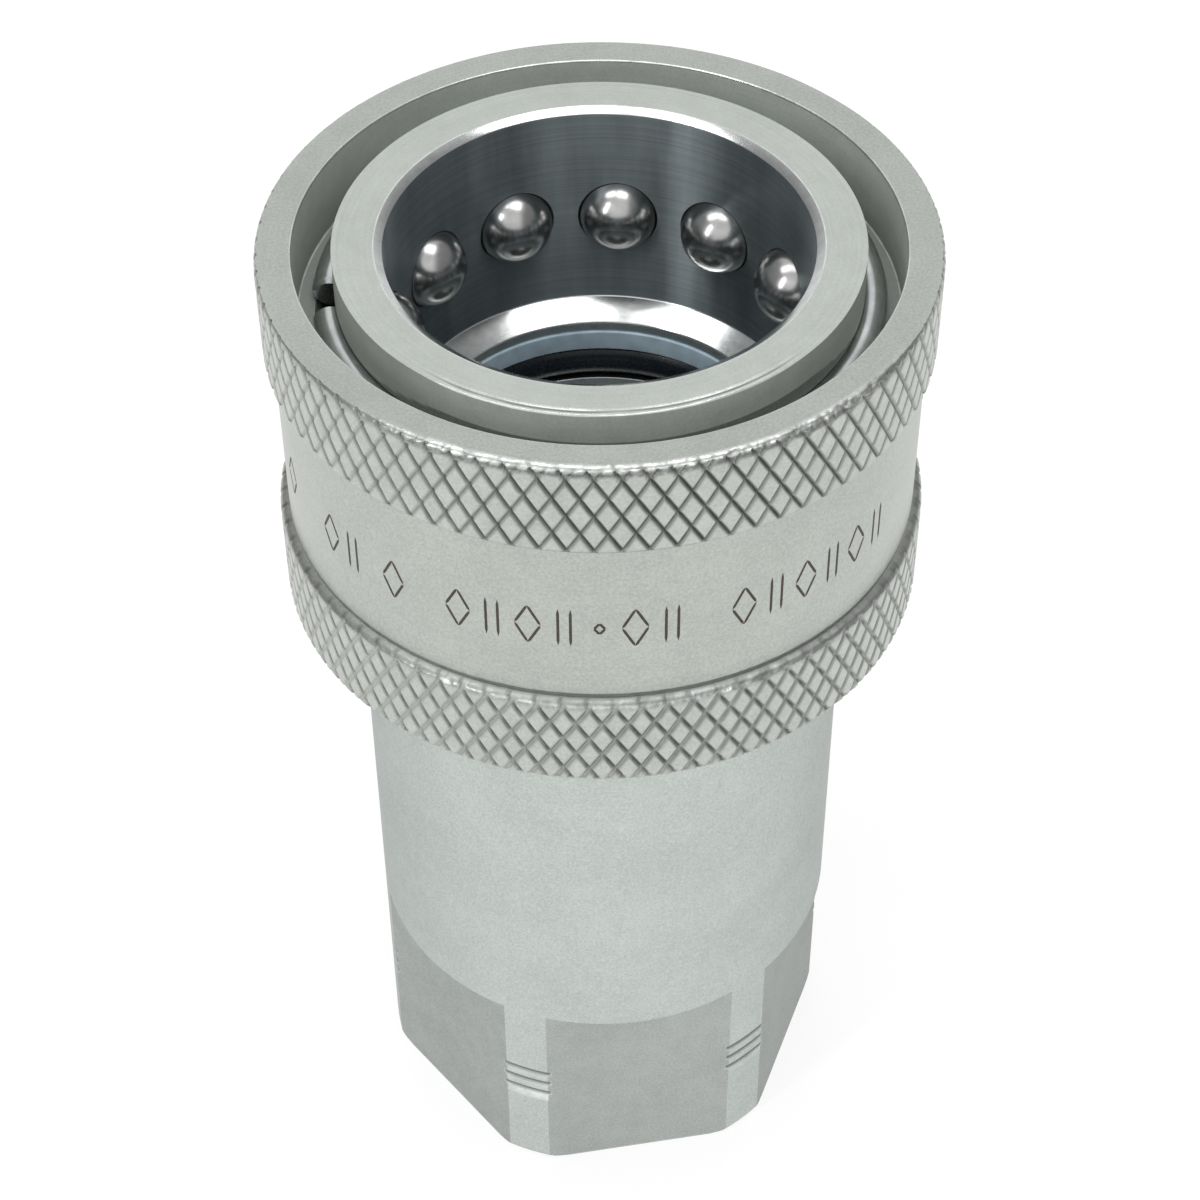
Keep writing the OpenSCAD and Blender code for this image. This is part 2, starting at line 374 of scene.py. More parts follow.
class Surface(Tree):
    """A material with one Principled shader and coordinates in millimetres."""

    def __init__(self, name):
        materials[name] = bpy.data.materials.new(name)
        super().__init__(materials[name])
        self.shader = self.add("BsdfPrincipled")
        self.add("OutputMaterial", {"Surface": self.shader.outputs["BSDF"]})
        place = self.add("TexCoord").outputs["Object"]
        self.place = self.vector("SCALE", {0: place, "Scale": 1 / MM})

    def noise(self, where, scale, detail, rough):
        inputs = {"Vector": where, "Scale": scale, "Detail": detail, "Roughness": rough}
        return self.add("TexNoise", inputs).outputs["Fac"]

    def mix(self, factor, a, b):
        inputs = {"Factor": factor, "A": a, "B": b}
        return self.add("Mix", inputs, data_type="RGBA").outputs["Result"]

    def turned_place(self, along, around):
        """Coordinates for tool marks that run round the axis: height, radius and angle."""
        x, y, z = self.add("SeparateXYZ", {0: self.place}).outputs
        sine = self.math("SINE", self.math("ARCTAN2", y, x))
        radius = self.math("SQRT", self.total((x, x), (y, y)))
        terms = (z, along), (radius, along), (sine, around)
        inputs = {i: self.math("MULTIPLY", *term) for i, term in enumerate(terms)}
        return self.add("CombineXYZ", inputs).outputs[0]

    def painted(self, key):
        """One of a shape's values: its wear with painted highlight, or its painted shade."""
        return self.add("Attribute", attribute_name=key).outputs["Fac"]

    def bump(self, height, strength, distance):
        inputs = {"Height": height, "Strength": strength, "Distance": distance * MM}
        return self.add("Bump", inputs).outputs["Normal"]

    def finish(self, stains, tones, fine, rough, height, depth, metallic=1.0, spread=(0.3, 0.7)):
        """Colour from one pattern, roughness from another, and a bump's depth in millimetres."""
        self.fill(self.shader, {
            "Base Color": self.mix(self.span(stains, *spread), *tones),
            "Metallic": metallic,
            "Roughness": self.span(fine, 0.3, 0.7, *rough),
            "Normal": self.bump(height, 0.4, depth),
        })


materials = {}


def shades(color, *factors):
    """A colour's darker and lighter versions, as RGBA."""
    return [tuple(factor * c for c in color) + (1.0,) for factor in factors]


def zinc(name, color, rough, grain=1.0, marks=1.0, mottle=1.0, metallic=1.0, edge=0.63):
    """Satin zinc on turned steel: grain, tool marks, blotches, painted shade in grooves and
    recesses, and wear with painted highlights.
    """
    n = Surface(name)
    clouds = n.noise(n.place, 0.16, 3.0, 0.6)
    blotches = n.noise(n.place, 0.9, 4.0, 0.6)
    grit = n.noise(n.place, 6.0, 3.0, 0.7)
    lines = n.noise(n.turned_place(5.0, 2.5), 1.0, 4.0, 0.7)
    specks = n.noise(n.place, 3.2, 4.0, 0.8)
    shares = 0.35 * mottle, 0.35 * mottle, 0.45 * grain, 0.40 * marks
    tone = n.total(*zip((clouds, blotches, grit, lines), shares))
    middle = 0.5 * sum(shares)
    dark, light, pit, groove = shades(color, 0.86, 1.12, 0.62, 0.37)
    # the light tone of rubbed edges and painted highlights
    rubbed_and_lit = (0.86, 0.88, 0.87, 1.0)
    paint = n.mix(n.span(tone, middle - 0.22, middle + 0.22), dark, light)
    paint = n.mix(n.span(specks, 0.64, 0.78, 0.0, 0.55), paint, pit)
    # painted shade: the groove tone darkens the colour by the shape's painted_shade value
    painted_shade = n.math("MULTIPLY", n.painted("painted_shade"), n.span(grit, 0.3, 0.6, 0.80, 1.0))
    paint = n.mix(painted_shade, paint, groove)
    # wear and painted highlight: a lighter tone and a smoother finish along rubbed edges
    wear_and_highlight = n.math("MULTIPLY", n.painted("wear_and_highlight"), n.span(blotches, 0.35, 0.65, 0.35, 1.0))
    uneven = n.total((blotches, 0.5), (grit, 0.5))
    satin = n.span(uneven, 0.3, 0.7, rough - 0.05, rough + 0.07)
    satin = n.math("SUBTRACT", satin, n.math("MULTIPLY", wear_and_highlight, 0.16))
    n.fill(n.shader, {
        "Base Color": n.mix(wear_and_highlight, paint, rubbed_and_lit),
        "Metallic": metallic,
        "Roughness": n.math("ADD", satin, n.math("MULTIPLY", painted_shade, 0.2), clamp=True),
        "Normal": n.bump(n.total((grit, min(grain, 1.2)), (lines, 0.5 * marks)), 0.6, 0.012),
        # edge below 1 darkens the grazing reflections: painted shade on the sides of the parts
        "Specular Tint": (edge, edge, edge, 1.0),
    })


def polished_bore(name, color, rough):
    """A reamed bore: its fine rings stretch every highlight along the axis."""
    n = Surface(name)
    lines = n.noise(n.turned_place(11.0, 1.0), 1.0, 4.0, 0.7)
    rings = n.noise(n.turned_place(2.6, 2.0), 1.0, 3.0, 0.6)
    upright = n.vector("MULTIPLY", {0: n.place, 1: (0.5, 0.5, 0.06)})
    streak = n.noise(upright, 1.0, 3.0, 0.6)
    both = n.total((lines, 0.5), (streak, 0.5))
    n.fill(n.shader, {
        "Base Color": n.mix(n.span(both, 0.35, 0.65), *shades(color, 0.72, 1.22)),
        "Metallic": 1.0,
        "Roughness": n.span(streak, 0.3, 0.7, rough - 0.03, rough + 0.04),
        "Anisotropic": 0.95,
        "Anisotropic Rotation": 0.25,
        "Tangent": n.add("Tangent", direction_type="RADIAL", axis="Z").outputs[0],
        "Normal": n.bump(n.total((lines, 0.5), (rings, 0.8)), 0.6, 0.006),
    })


def bright_steel(name, color, rough, rings_height=0.0):
    """Polished steel with fine scratches, soft stains and, if turned, faint rings."""
    n = Surface(name)
    stains = n.noise(n.place, 0.9, 3.0, 0.6)
    stretched = n.vector("MULTIPLY", {0: n.place, 1: (3.0, 14.0, 5.0)})
    fine = n.noise(stretched, 1.0, 3.0, 0.6)
    rings = n.noise(n.turned_place(9.0, 1.0), 1.0, 3.0, 0.6)
    height = n.total((fine, 0.3), (rings, rings_height))
    tones, rough = shades(color, 1.05, 0.88), (rough - 0.02, rough + 0.05)
    n.finish(stains, tones, fine, rough, height, 0.004, spread=(0.35, 0.7))


def wire_steel(name, color, rough):
    """Drawn wire: lengthwise marks and a thin uneven oxide."""
    n = Surface(name)
    stains = n.noise(n.place, 0.6, 3.0, 0.6)
    fine = n.noise(n.turned_place(16.0, 2.0), 1.0, 3.0, 0.6)
    tones, rough = shades(color, 0.82, 1.1), (rough - 0.04, rough + 0.08)
    n.finish(stains, tones, fine, rough, fine, 0.005)


def seal_plastic(name, color):
    """Smooth filled plastic with faint cut marks."""
    n = Surface(name)
    lines = n.noise(n.turned_place(9.0, 0.5), 1.0, 2.0, 0.5)
    clouds = n.noise(n.place, 0.8, 2.0, 0.5)
    tones = shades(color, 0.88, 1.1)
    n.finish(clouds, tones, lines, (0.28, 0.40), lines, 0.006, metallic=0.0)


def rubber(name):
    """Black rubber with a fine moulded skin, wet with a little oil."""
    n = Surface(name)
    skin = n.noise(n.place, 9.0, 3.0, 0.6)
    tones = (0.005, 0.009, 0.014, 1.0), (0.012, 0.019, 0.028, 1.0)
    n.finish(skin, tones, skin, (0.22, 0.38), skin, 0.008, metallic=0.0)


def etched(name):
    """The brown-grey line that a marking laser burns into zinc."""
    n = Surface(name)
    burn = n.noise(n.place, 6.0, 3.0, 0.6)
    tones = (0.040, 0.029, 0.025, 1.0), (0.10, 0.080, 0.070, 1.0)
    n.finish(burn, tones, burn, (0.45, 0.7), burn, 0.01, metallic=0.35)


# ---- sleeve


def sleeve_outline():
    """The sleeve's outside before knurling, as rows of (z, r, burr, wear and painted highlight,
    painted shade).

    burr is how far knurling has pushed the metal about. Each part counts z and r from its own
    start, and drops end zeros.
    """
    # the rows' wear paints highlights along the edges, and their last value paints shade along the
    # foot of the grip and just below the rim
    parts = (
        (sleeve_floor_z, sleeve_r, (
            (0, -grip_edge - 0.3), (0, -grip_edge, 0.02, 0.2), (0.17, -0.19, 0.06, 0.3, 0.4),
            (grip_edge, -0.03, 0.05, 0.3, 0.3), (grip_edge + 0.1, 0),
        )),
        (lower_grip_z, sleeve_r, (
            (-0.06, 0), (0.03, -0.02, 0.03, 0.1, 0.2), (0.14, -0.09, 0.07, 0.9),
            (0.24, -0.2, 0.08, 0.2, 0.5), (0.33, -0.34, 0.05, 0.5, 0.3),
        )),
        (lower_grip_z + grip_step, band_r, (
            (-0.12, -0.06, 0, 0, 0.55), (0.03, -0.06, 0, 0, 0.35),
            (0.12, -0.04, 0, 0, 0.6), (0.18, 0, 0, 0.1), (0.26, 0),
        )),
        (upper_grip_z - grip_step, band_r, ((0, 0), (0.06, 0.04))),
        (upper_grip_z, sleeve_r, ((-0.03, -0.04), (0.03, 0))),
        (nose_z, sleeve_r, (
            (-0.58, 0), (-0.47, -0.01, 0.02, 0, 0.45), (-0.37, -0.01, 0.05, 0, 0.95),
            (-0.28, -0.02, 0.05, 0, 0.95), (-0.2, -0.07, 0.05, 0.2, 0.4),
            (-0.14, -0.16, 0.06, 0.9), (-0.09, -0.26, 0.06, 0.2, 0.7),
            (-0.04, -0.36, 0.05, 0.9), (0, -0.48, 0.02, 0.9), (0, -0.56, 0, 0.3),
            (0, -0.64),
        )),
    )
    return np.array([
        (start_z + row[0], start_r + row[1], *(*row[2:], 0, 0, 0)[:3])
        for start_z, start_r, rows in parts
        for row in rows
    ])


def knurl_grooves(across, up, back, forward, angles):
    """Depth and painted groove shade of the diamond knurl at points of the unrolled sleeve.

    Each groove has a narrow floor and rounded lips that stand a little proud.
    """
    spacing = knurl_w * knurl_h / math.hypot(knurl_w, knurl_h)

    def groove(turns, press, depth, half_width, floor, walls):
        t = np.abs(turns - np.round(turns)) * spacing / half_width
        lip = 0.08 * depth * np.exp(-(((t - 1.4) / 0.35) ** 2))
        dark = np.interp(t, [0.0, 0.5, 0.95, 1.15], [floor, walls, 0.55 * walls, 0.0])
        cut = depth * np.clip(1.12 - t, 0, 1) ** 1.2 - lip
        return cut * press, dark * press

    # each set was pressed harder on one side of the sleeve, and its painted groove shade is
    # stronger on that side too
    left_press = np.clip(0.85 + 0.3 * np.cos(angles + math.radians(150)), 0.65, 1)
    right_press = np.clip(0.62 + 0.55 * np.cos(angles + math.radians(30)), 0.4, 1)
    left_cut, left_shade = groove(across / knurl_w + up / knurl_h, left_press, *back)
    right_cut, right_shade = groove(across / knurl_w - up / knurl_h, right_press, *forward)
    if forward[1] > back[1]:
        # the narrow grooves' painted shade fades out near the wide grooves; their cuts are
        # unchanged
        share = across / knurl_w - up / knurl_h
        share = share - np.floor(share)
        kept = np.interp(share, [0.0, 0.12, 0.35, 0.8, 0.9, 1.0], [0.0, 0.5, 1.0, 1.0, 0.7, 0.0])
        left_shade = left_shade * kept
    return np.maximum(left_cut, right_cut), np.maximum(left_shade, right_shade)


def knurled_sleeve():
    """The sleeve's outside: two diamond-knurled grips with a smooth band between."""
    period = 2 * knurl_cells
    columns = period * knurl_count
    cell = 2 * math.pi / columns
    row = knurl_h / period
    lower_shift = -3
    cut_full = 0.13
    outline = sleeve_outline()
    angles = math.radians(-100.73) + np.arange(columns) * cell

    def outline_rows(start, end):
        return [(None, outline[i]) for i in range(start, end)]

    def knurl_rows(start, end, fixed):
        """Rows between two of the outline's, on the grooves' grid from fixed."""
        first = math.ceil((outline[start, 0] - fixed) / row + 0.3)
        last = math.floor((outline[end, 0] - fixed) / row - 0.3)
        grid = range(first, last + 1)
        heights = [fixed + k * row for k in grid]
        values = [np.interp(heights, outline[:, 0], outline[:, c]) for c in (1, 2, 3, 4)]
        return list(zip(grid, zip(heights, *values)))

    def round_noise(radius, height):
        """Noise round the sleeve: the larger the radius, the finer."""
        around = zip(radius * np.cos(angles), radius * np.sin(angles))
        return np.array([noise.noise(Vector((x, y, height))) for x, y in around])

    # rows as (row on the grooves' grid or None, the outline's values there)
    rows = outline_rows(0, 5) + knurl_rows(4, 6, lower_grip_z) + outline_rows(6, 16)
    rows += knurl_rows(15, 19, upper_grip_z) + outline_rows(19, len(outline))

    patches = np.clip(round_noise(2, 5), 0, 1)
    # wear, painted highlights and painted shade along the rim and grip edges are strongest around
    # -88 degrees and in noisy patches; the rim's chamfer and its burrs follow the same share
    knocked_and_lit = np.clip(0.1 + 0.9 * facing(angles, -88, 30, 26) + 0.5 * patches, 0, 1)
    rings = []
    for _, (z, radius, burr, worn_and_lit, outline_shade) in rows:
        worn_and_lit, outline_shade = worn_and_lit * knocked_and_lit, outline_shade * knocked_and_lit
        if nose_z - 0.3 < z and radius > sleeve_r - 0.6:
            # the rim's edge is sharp where nothing has struck it
            radius = sleeve_r - (sleeve_r - radius) * (0.25 + 0.75 * knocked_and_lit)
        ragged = 0.0
        if burr > 0:
            fine = 0.8 * round_noise(70, z * 9) + 0.8 * round_noise(160, z * 12)
            ragged = (round_noise(26, z * 4) + fine) * knocked_and_lit
        off_band = z > outline[15, 0] + 0.01 or z < outline[9, 0] + 0.01
        knurled = off_band and np.min(radius) > band_r + 0.05
        if not knurled:
            depth, dark, land = 0.0, 0.0, 0.0
        else:
            on_lower = z < between_grips_z
            fixed, shift = (lower_grip_z, lower_shift) if on_lower else (upper_grip_z, 0)
            across = (np.arange(columns) - shift) * cell * sleeve_r
            cuts = lower_knurl if on_lower else upper_knurl
            # the knurl's depth and its painted groove shade
            depth, dark = knurl_grooves(across, z - fixed, *cuts, angles)
            land = 0.13 * (1 - dark)
        plain_r = np.minimum(radius + burr * ragged, sleeve_r)
        cut_r = np.minimum(plain_r, sleeve_r - depth)
        lift = 0.4 * burr * ragged if z > nose_z - 0.25 else 0.0
        cut = np.clip((plain_r - cut_r) / cut_full, 0, 1)
        patchy = round_noise(30, z * 1.6)
        wear_and_highlight = np.maximum(worn_and_lit * (0.85 + 0.7 * ragged), land) - cut
        painted_shade = np.maximum(dark * (1 + 0.45 * patchy), outline_shade * (1 + 0.9 * ragged))
        height = np.minimum(z + lift, nose_z)
        rings.append((cut_r, height, np.clip(wear_and_highlight, 0, 1), np.clip(painted_shade, 0, 1)))

    points, quads, wear_and_highlight, painted_shade = turned(rings, angles=angles)
    faces = []
    i = np.arange(columns)
    for j in range(len(rows) - 1):
        band = quads[j * columns : (j + 1) * columns]
        k, values = rows[j]
        if k is None or rows[j + 1][0] is None:
            faces += band
            continue
        shift = lower_shift if values[0] < between_grips_z else 0
        # a quad is split along the groove that is nearer to its middle
        to_back = np.abs(((i - shift + k + 1 + knurl_cells) % period) - knurl_cells)
        to_forward = np.abs(((i - shift - k + knurl_cells) % period) - knurl_cells)
        for (a, b, c, d), back in zip(band, to_back < to_forward):
            faces += [(a, b, d), (b, c, d)] if back else [(a, b, c), (a, c, d)]
    return points, faces, wear_and_highlight, painted_shade


def sleeve_inside():
    """The sleeve's bore: mouth, ball ramp, land, spring room and rear guide."""
    step_z, land_z, floor_z = nose_z - 4.4, nose_z - 10.0, joint_z - 0.1
    profile = rounded([
        (sleeve_r - 0.64, nose_z), (17.2, nose_z, 0), (mouth_r, nose_z, 0.18),
        (mouth_r, nose_z - 2.4, 0), (mouth_r, nose_z - 3.4, 0), (mouth_r, step_z, 0.1),
        (15.945, step_z, 0.05), (14.83, nose_z - 8.0, 0.1), (14.83, land_z, 0.1),
        (spring_room_r, land_z, 0.1), (spring_room_r, floor_z, 0.1), (14.9, floor_z, 0.1),
        (14.9, sleeve_floor_z, 0.15), (sleeve_r - grip_edge - 0.3, sleeve_floor_z),
    ])
    points, faces, wear_and_highlight, painted_shade = turned(profile, 328)
    # painted shade deepens down the mouth towards the step, and two sides of the mouth get painted
    # shade too
    for i, (x, y, z) in enumerate(points):
        depth = nose_z - z
        if depth < 8.1 and math.hypot(x, y) < spring_room_r - 0.01:
            unshaded = facing(math.atan2(y, x), 75, 45, 25)
            side = 0.30 * (1 - unshaded) if depth > 0.2 else 0.0
            deep_shade = np.interp(depth, [2.4, 4.0, 4.5, 5.0], [0.0, 0.35, 0.75, 0.95])
            painted_shade[i] = max(side, deep_shade)
    return points, faces, wear_and_highlight, painted_shade


def band_marks():
    """A plain engraved ornament round the band: lozenges and double strokes, no lettering."""
    middle_z, half_height = 56.1, 1.4
    half_width = 0.08
    marks_r = band_r + 0.006
    steps = 8
    points, faces = [], []

    def stroke(angle, start, end):
        """An engraved line between two (across, up) points, at an angle round the band."""
        start, along = Vector(start), Vector(end) - Vector(start)
        side = Vector((-along.y, along.x)).normalized()
        faces.extend(grid_faces(steps + 1, 2, len(points), wrap_columns=False))
        for k in range(steps + 1):
            t = k / steps
            half = half_width * math.sqrt(max(0.0, 1 - abs(2 * t - 1) ** 10))
            for offset in (-half, half):
                at = start + along * t + side * offset
                a = math.radians(angle) + at.x / band_r
                points.append(polar(marks_r, a, middle_z + at.y))

    def lozenge(angle, half_wide, half_tall):
        corners = [(0, -half_tall), (half_wide, 0), (0, half_tall), (-half_wide, 0)]
        for n in range(4):
            stroke(angle, corners[n], corners[(n + 1) % 4])

    # each run starts at an angle and repeats lozenge, double stroke
    for start, count in ((-170, 1), (-153.5, 2), (-137.5, 1), (-124.5, 4), (-94, 2), (-75, 6)):
        for n in range(count):
            angle = start + 6.2 * n
            if n % 2 == 0:
                lozenge(angle, 0.72, half_height)
            else:
                for x in (-0.34, 0.34):
                    stroke(angle, (x, -half_height), (x, half_height))
    lozenge(-100.0, 0.3, 0.4)
    return plain(points, faces)


# ---- nose


def ball_row(columns, half_height):
    """The nose's wall at the balls' height, inside and out, with its stepped holes."""
    half_angle = math.pi / ball_count
    side_steps = 20
    bevel = 0.03, 0.06
    # one ball's share of the wall, as (angle, z) points round its border
    along = [-half_angle + 2 * half_angle * k / columns for k in range(columns)]
    upwards = [-half_height + 2 * half_height * k / side_steps for k in range(side_steps)]
    border = [(a, half_height) for a in along]
    border += [(half_angle, -z) for z in upwards]
    border += [(-a, -half_height) for a in along]
    border += [(-half_angle, z) for z in upwards]
    count = len(border)
    middle_r = (plug_r + nose_r) / 2
    phis = [math.atan2(z, middle_r * math.sin(a)) for a, z in border]

    def wall(radius, hole_r, steps):
        """Rings of points of a cylinder wall, from its hole out to the border."""
        for k in range(steps + 1):
            t = (k / steps) ** 1.4
            for phi, (edge_angle, edge_z) in zip(phis, border):
                hole_angle = math.asin(hole_r * math.cos(phi) / radius)
                a = hole_angle * (1 - t) + edge_angle * t
                z = hole_r * math.sin(phi) * (1 - t) + edge_z * t
                yield polar(radius, a, z)

    def hole_ring(r, wall_r=None, x=0.0):
        """Points round the hole, at a distance x from the axis or from a wall's surface."""
        for p in phis:
            side = r * math.cos(p)
            yield (math.sqrt(wall_r**2 - side**2) if wall_r else 0.0) + x, side, r * math.sin(p)

    # from the bore outwards: a tiny chamfer, the lip, the step and the wide part
    lip_end = plug_r + 0.11
    hole = [
        *hole_ring(ball_lip_r + bevel[0], plug_r),
        *hole_ring(ball_lip_r, plug_r, bevel[0]),
        *hole_ring(ball_lip_r, x=lip_end),
        *hole_ring(ball_hole_r, x=lip_end),
        *hole_ring(ball_hole_r, nose_r, -0.05),
        *hole_ring(ball_hole_r + bevel[1], nose_r),
    ]
    inner = list(wall(plug_r, ball_lip_r + bevel[0], 6))
    outer = list(wall(nose_r, ball_hole_r + bevel[1], 5))
    points, faces = [], []
    for n in range(ball_count):
        turn = math.radians(ball_first_angle + n * 360 / ball_count)
        cos_t, sin_t = math.cos(turn), math.sin(turn)
        for part in (inner, outer, hole):
            faces += grid_faces(len(part) // count, count, len(points))
            points += [
                (x * cos_t - y * sin_t, x * sin_t + y * cos_t, ball_z + z) for x, y, z in part
            ]
    return plain(points, faces)


def nose():
    """The front half of the body, from its end face to the valve's seat."""
    columns_per_ball = 24
    half_height = 2.6
    columns = columns_per_ball * ball_count
    top, bottom = ball_z + half_height, ball_z - half_height
    wall_z = nose_z - 1.2
    upper = rounded([
        (plug_r, top), (plug_r, nose_z - 0.28, 0.05), (plug_r + 0.5, nose_z, 0.05),
        (turned_line_r, nose_z, 0), (nose_r - 0.08, nose_z, 0.03),
        (nose_r, nose_z - 0.08, 0.03), (nose_r, wall_z, 0),
        (nose_r, snap_z + 1.1, 0), (nose_r, snap_z + 0.975, 0),
    ])
    # extra rows on the outer wall, for the painted shade at its foot
    foot = next(i for i, point in enumerate(upper) if abs(point[1] - wall_z) < 0.001)
    rows = (1.6, 1.86, 1.94, 2.02, 2.2, 2.4, 2.6)
    upper[foot + 1 : foot + 1] = [(nose_r, nose_z - depth, 0.0) for depth in rows]
    # a fine line that the turning tool left inside the edge, as (r, depth, wear and painted
    # highlight, painted shade)
    at = next(i for i, point in enumerate(upper) if abs(point[0] - turned_line_r) < 0.001)
    line = (
        (14.17, 0, 0, 0), (14.22, 0.01, 1.0, 0), (14.31, 0.03, 0.8, 0),
        (14.37, 0.06, 0, 0.8), (14.46, 0.06, 0, 0.8), (14.52, 0.03, 0.9, 0),
        (14.6, 0, 1.0, 0),
    )
    upper[at + 1 : at + 1] = [(r, nose_z - depth, wear_and_highlight, painted_shade) for r, depth, wear_and_highlight, painted_shade in line]
    # the snap ring's groove
    groove_section_r = snap_wire_r + 0.03
    for a in np.linspace(math.radians(-249.5), math.radians(-110.5), 17):
        r = min(snap_r + groove_section_r * math.cos(a), nose_r)
        upper.append((r, snap_z + groove_section_r * math.sin(a), 0.0))
    upper.append((nose_r, top, 0.0))

    skirt_z = joint_z - 9.9
    lower = rounded([
        (nose_r, bottom), (nose_r, joint_z + 5.9, 0.1), (neck_r, joint_z + 5.7, 0.1),
        (neck_r, joint_z, 0.05), (skirt_r, joint_z, 0.05), (skirt_r, skirt_z + 4.0, 0.05),
        (11.3, skirt_z + 4.0, 0.05), (11.3, skirt_z + 1.2, 0.05),
        (skirt_r, skirt_z + 1.2, 0.05), (skirt_r, skirt_z, 0.15), (10.4, skirt_z, 0.15),
        (10.4, seat_top_z - 2.6, 0.1), (seat_r + 1.6, seat_top_z - 2.6, 0.1),
        (seat_r, seat_top_z - 1.0, 0.1), (seat_r, seat_top_z, 0.15), (tip_r, seat_top_z, 0.1),
        (tip_r, groove_floor_z, 0.08), (groove_r, groove_floor_z, 0.05),
        (groove_r, groove_top_z, 0.05), (tip_r, groove_top_z, 0.05),
        (tip_r, cone_floor_z, 0.1), (plug_r, bore_floor_z, 0.12), (plug_r, bottom),
    ])
    top_part = turned(upper, columns)
    points, _, wear_and_highlight, painted_shade = top_part
    for i, (x, y, z) in enumerate(points):
        angle, r, depth = math.atan2(y, x), math.hypot(x, y), nose_z - z
        if depth < 0.1 and r > 14.1:
            # the line, with its painted highlight and painted shade, shows on one side only
            around = noise.noise(Vector((x * 0.35, y * 0.35, 0.0)))
            share = facing(angle, -96, 30, 16) * (0.85 + 0.8 * around)
            share = min(max(share, 0.05), 1.0)
            points[i] = (x, y, nose_z - depth * share)
            wear_and_highlight[i] *= share
            painted_shade[i] *= share
        elif r > nose_r - 0.01:
            # painted shade on the sides, and painted shade at the foot that reaches higher on the
            # side of the line
            shade_depth = 2.66 - 0.80 * facing(angle, -92, 40, 25)
            side = 0.30 * (1 - facing(angle, -97, 32, 22))
            painted_shade[i] = max(side, min(max((depth - shade_depth) / 0.07, 0.0), 1.0))
    return joined(
        top_part, turned(lower, columns), ball_row(columns_per_ball, half_height)
    )


# ---- rear body


def from_flat(angles):
    """Degrees from the middle of the nearest flat, at angles in radians."""
    return (np.degrees(angles) + 90 + 30) % 60 - 30


def hexagon_angles():
    """Angles round the hexagon, with extra ones at the ends of its flats."""
    half_flat = math.degrees(math.acos(half_flats / body_r))
    extra = [side * (half_flat - inset) for side in (-1, 1) for inset in (0.35, 1.1, 2.15)]
    across = sorted([*np.linspace(-half_flat, half_flat, 25), *extra])
    corner = np.linspace(half_flat, 60 - half_flat, 13)[1:-1]
    return np.radians([-90 + 60 * k + a for k in range(6) for a in (*across, *corner)])


def rear_body():
    """Hexagon, round body and everything inside it down to the port's thread."""
    angles = hexagon_angles()
    flat_r = half_flats / np.cos(np.radians(from_flat(angles)))
    on_corner = flat_r > body_r - 0.01

    def hexagonal(radius):
        return np.minimum(flat_r, radius)

    full = hexagonal(body_r)
    rings = [(hexagonal(end_face_r), 0.0), (hexagonal(body_r - end_edge - 0.1) - 0.05, 0.0)]
    for angle in (8, 25, 42, 59, 76, 90):
        bend = math.radians(angle)
        z = end_edge * (1 - math.cos(bend)) if angle > 8 else 0.03
        edge_r = body_r - end_edge * (1 - math.sin(bend))
        # painted shade along the lowest part of the end's rounded edge
        rings.append((hexagonal(edge_r), z, 0.0, 0.25 if angle < 30 else 0.0))
    rings.append((full, 4.0))
    # the turned rings on the corners, with painted shade in them: the lowest has the strongest
    # painted highlight on the lip below it, and it differs from corner to corner
    corner_index = np.floor((np.degrees(angles) + 90 + 360) / 60).astype(int)
    corner_lip_highlight = np.array([0.15, 0.5, 0.2, 0.4, 0.1, 1.0])[corner_index % 6]
    rubbed_and_lit = np.where(on_corner, corner_lip_highlight, 0.0)
    lowest = corner_ring_heights[0]
    rings += [(full, lowest - 1.0), (full, lowest - 0.75, 0.75 * rubbed_and_lit)]
    for middle_z in corner_ring_heights:
        lip = rubbed_and_lit * (1.0 if middle_z == lowest else 0.35)
        for dz, depth, wear_and_highlight, painted_shade in (
            (-0.42, 0, 0.9 * lip, 0), (-corner_ring_half, 0.01, lip, 0),
            (-0.16, 0.05, 0.5 * lip, 0.15), (-0.06, 0.12, 0, 0.85), (0.07, 0.12, 0, 0.85),
            (0.18, 0.06, 0, 0.5), (corner_ring_half, 0, 0.1, 0),
        ):
            cut = (flat_r > body_r - depth).astype(float)
            rings.append((hexagonal(body_r - depth), middle_z + dz, wear_and_highlight * cut, painted_shade * cut))
    # each flat ends in a small step up to the round body, with wear and a painted highlight along
    # it
    step_wear_and_highlight = np.where(on_corner, 0.0, 0.35)
    rings += [
        (full, 12.0),
        (full, hex_height - 0.1),
        (full, hex_height - 0.04, step_wear_and_highlight),
        (np.where(on_corner, body_r, flat_r + 0.04), hex_height, step_wear_and_highlight),
        (np.where(on_corner, body_r, np.minimum(flat_r + 0.12, body_r)), hex_height),
        (body_r, hex_height),
        (body_r, hex_height + 0.1),
    ]
    rings += [(body_r, z) for z in np.linspace(20, joint_z - 4, 8)]
    rings += rounded([
        (body_r, joint_z - 0.5), (body_r, joint_z, 0.12), (13.05, joint_z, 0.1),
        (13.05, joint_z - 10.1, 0.1), (11.0, joint_z - 10.1, 0.1), (11.0, 23.85, 0),
        (11.45, 23.5, 0.1), (11.45, 22.9, 0.1), (11.0, 22.57, 0), (11.0, 20.0, 0.05),
        (8.8, 20.0, 0.1), (8.8, port_depth + 0.3, 0.05), (port_r, port_depth, 0),
    ])
    return joined(turned(rings, angles=angles), port_thread(), port_rim())


def on_ring(at):
    """Whether a point of the hexagon lies in one of the corners' turned rings."""
    near_ring = any(abs(at.z - z) < corner_ring_half for z in corner_ring_heights)
    return near_ring and abs(from_flat(math.atan2(at.y, at.x))) > 23.4


